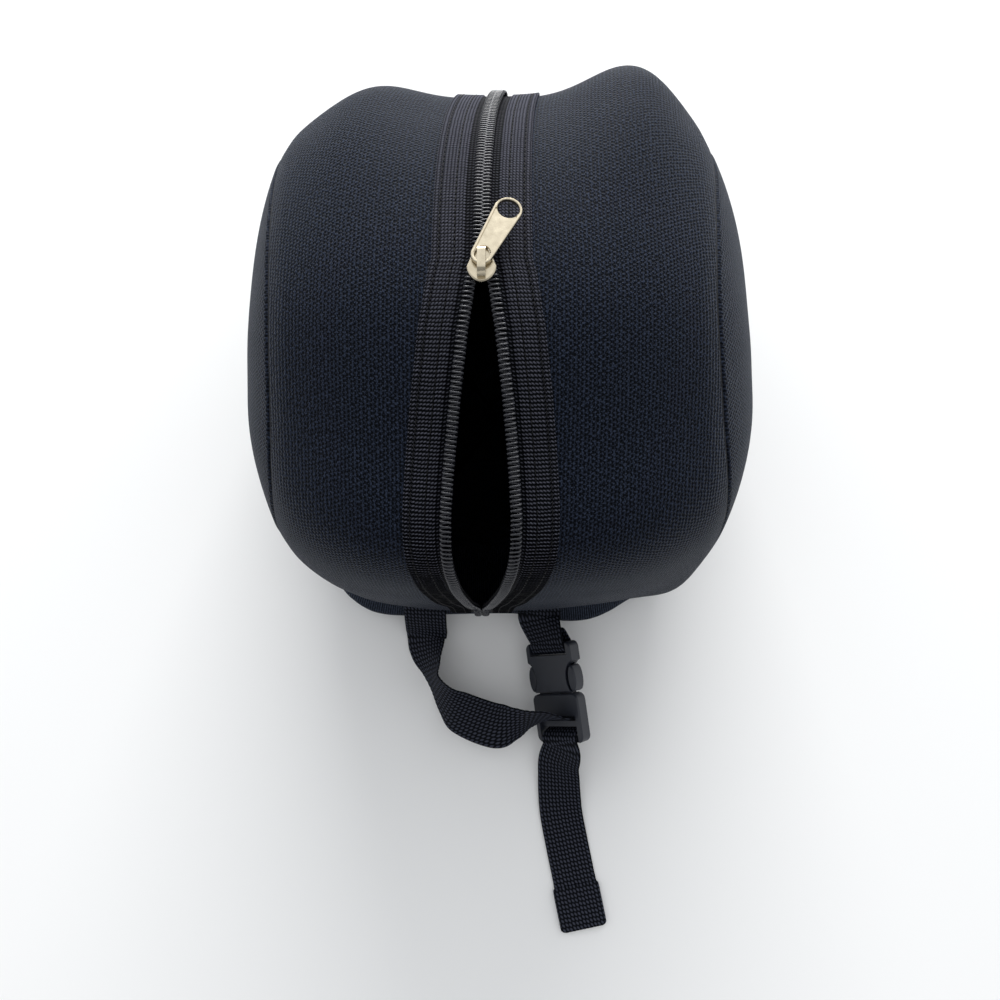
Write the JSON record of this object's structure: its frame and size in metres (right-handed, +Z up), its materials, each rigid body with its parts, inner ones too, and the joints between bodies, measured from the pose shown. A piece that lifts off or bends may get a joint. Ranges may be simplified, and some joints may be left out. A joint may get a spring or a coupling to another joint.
{
  "type": "helmet bag",
  "caption": "Soft domed helmet bag of dark spacer mesh on a flat base, with a coil zip over the top and a buckled webbing strap at the front.",
  "frame": {"origin": "middle of the base on the surface it rests on", "axes": "+X to the bag's right as seen from the strap side, +Y from the strap side to the back, +Z up"},
  "size_m": [0.2453, 0.4323, 0.2307],
  "materials": {
    "mesh": "matt black-navy spacer mesh",
    "tape": "ribbed woven black tape",
    "coil": "satin black nylon coil",
    "webbing": "woven black polypropylene",
    "buckle": "moulded black plastic, fine satin grain",
    "nickel": "polished warm nickel plating"
  },
  "bodies": {
    "bag": {"gusset_left": "mesh", "gusset_right": "mesh", "side_left": "mesh", "side_right": "mesh", "base": "mesh", "zip_tape_left": "tape", "zip_tape_right": "tape", "zip_coil_left": "coil", "zip_coil_right": "coil", "zip_slider": "nickel", "buckle_socket": "buckle", "buckle_clip": "buckle", "strap_long": "webbing", "strap_short": "webbing"},
    "pull": {"zip_pull": "nickel"}
  },
  "joints": [
    {"name": "zip_pull_hinge", "type": "hinge", "parent": "bag", "child": "pull", "pos_m": [-0.00751, -0.00428, 0.22767], "axis": [1, 0, 0], "range_deg": [0, 150]}
  ]
}
